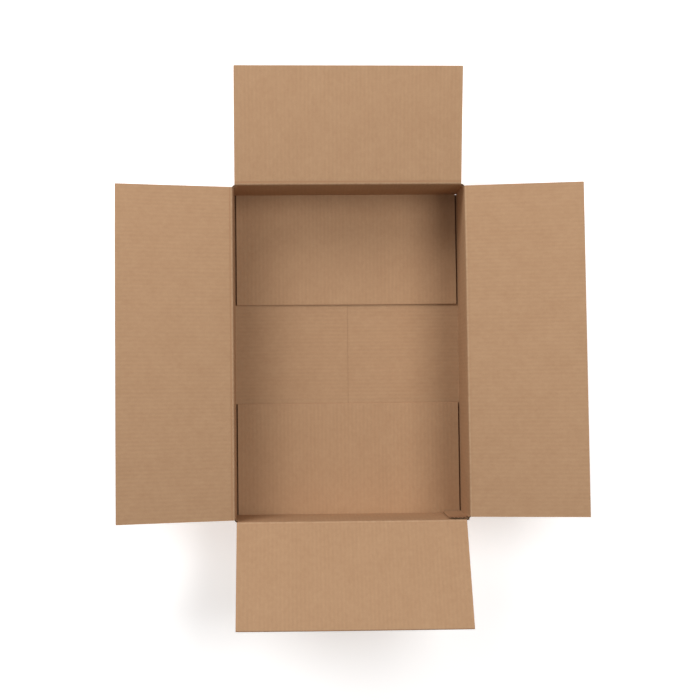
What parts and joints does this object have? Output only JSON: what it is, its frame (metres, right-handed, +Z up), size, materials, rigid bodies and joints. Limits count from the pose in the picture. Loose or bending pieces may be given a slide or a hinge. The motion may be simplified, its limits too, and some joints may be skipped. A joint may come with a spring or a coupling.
{
  "type": "corrugated carton",
  "caption": "Shallow corrugated shipping carton, bottom closed and taped, top flaps folded outward on their creases.",
  "frame": {"origin": "centre of the carton's base, on the surface that it stands on", "axes": "+Z up out of the open top, Y along the long side with +Y to the back, X across"},
  "size_m": [0.7539, 0.9027, 0.2359],
  "materials": {
    "kraft_board": "matte",
    "packing_tape": "satin"
  },
  "bodies": {
    "carton": {"carton_body": "kraft_board", "bottom_tape": "packing_tape"},
    "left_flap": {"top_flap_left": "kraft_board"},
    "right_flap": {"top_flap_right": "kraft_board"},
    "back_flap": {"top_flap_back": "kraft_board"},
    "front_flap": {"top_flap_front": "kraft_board"}
  },
  "joints": [
    {"name": "left_flap_fold", "type": "hinge", "parent": "carton", "child": "left_flap", "pos_m": [-0.1915, 0, 0.1413], "axis": [0, 1, 0], "range_deg": [-60.8, 164.2]},
    {"name": "right_flap_fold", "type": "hinge", "parent": "carton", "child": "right_flap", "pos_m": [0.1915, 0, 0.1413], "axis": [0, -1, 0], "range_deg": [-57.6, 167.4]},
    {"name": "back_flap_fold", "type": "hinge", "parent": "carton", "child": "back_flap", "pos_m": [0, 0.2755, 0.138], "axis": [1, 0, 0], "range_deg": [-58.3, 166.7]},
    {"name": "front_flap_fold", "type": "hinge", "parent": "carton", "child": "front_flap", "pos_m": [0, -0.2755, 0.138], "axis": [-1, 0, 0], "range_deg": [-75.4, 149.6]}
  ]
}
